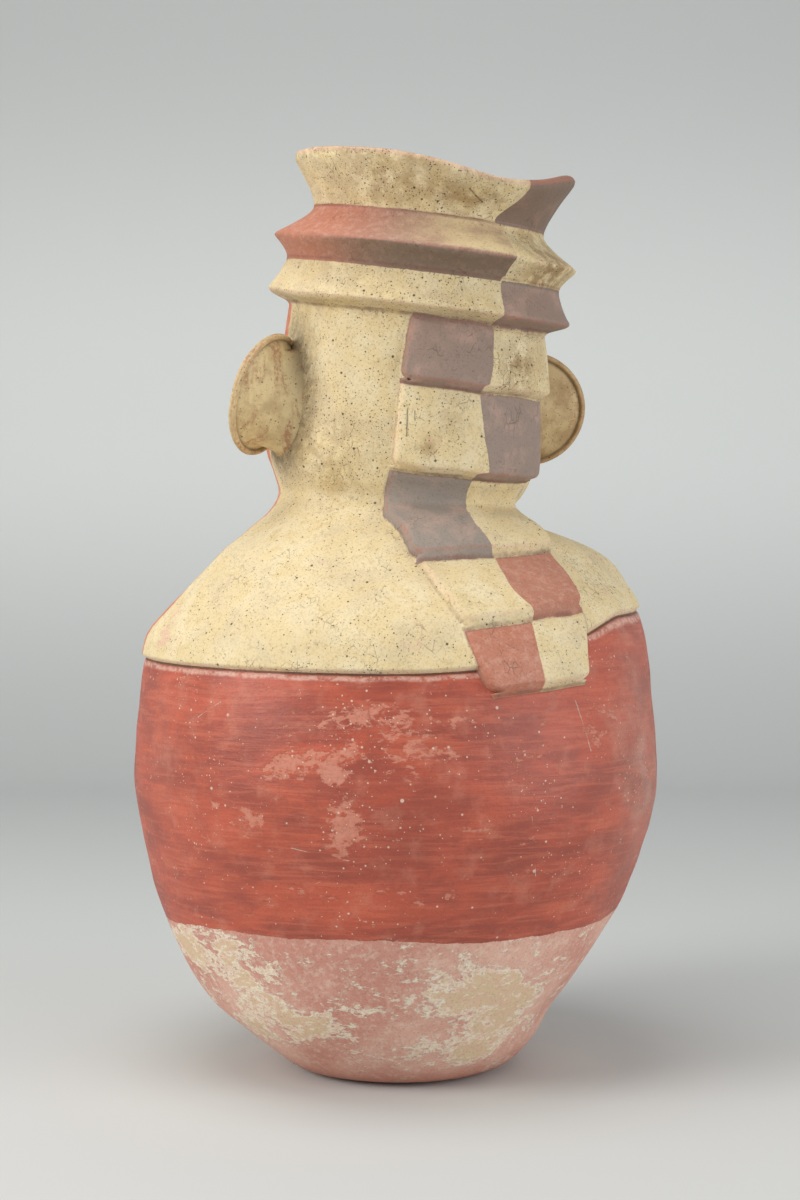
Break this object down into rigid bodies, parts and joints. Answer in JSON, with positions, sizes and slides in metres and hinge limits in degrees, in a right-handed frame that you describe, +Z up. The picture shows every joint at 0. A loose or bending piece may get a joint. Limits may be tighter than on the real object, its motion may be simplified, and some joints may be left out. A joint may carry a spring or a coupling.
{
  "type": "ceramic head jar",
  "caption": "Hollow clay jar with an egg-shaped body, a leaning head for a neck, ear discs, a ridged headdress under an open flaring rim, and a chequered band of lappets down the back.",
  "frame": {"origin": "centre of the flat underside that the jar stands on", "axes": "+Z up, -Y to the jar's front (the face), +X to the figure's left"},
  "size_m": [0.2306, 0.2283, 0.4025],
  "materials": {
    "fired_clay": "burnished slip over low-fired clay, worn"
  },
  "bodies": {
    "root": {"head_jar": "fired_clay"}
  },
  "joints": []
}
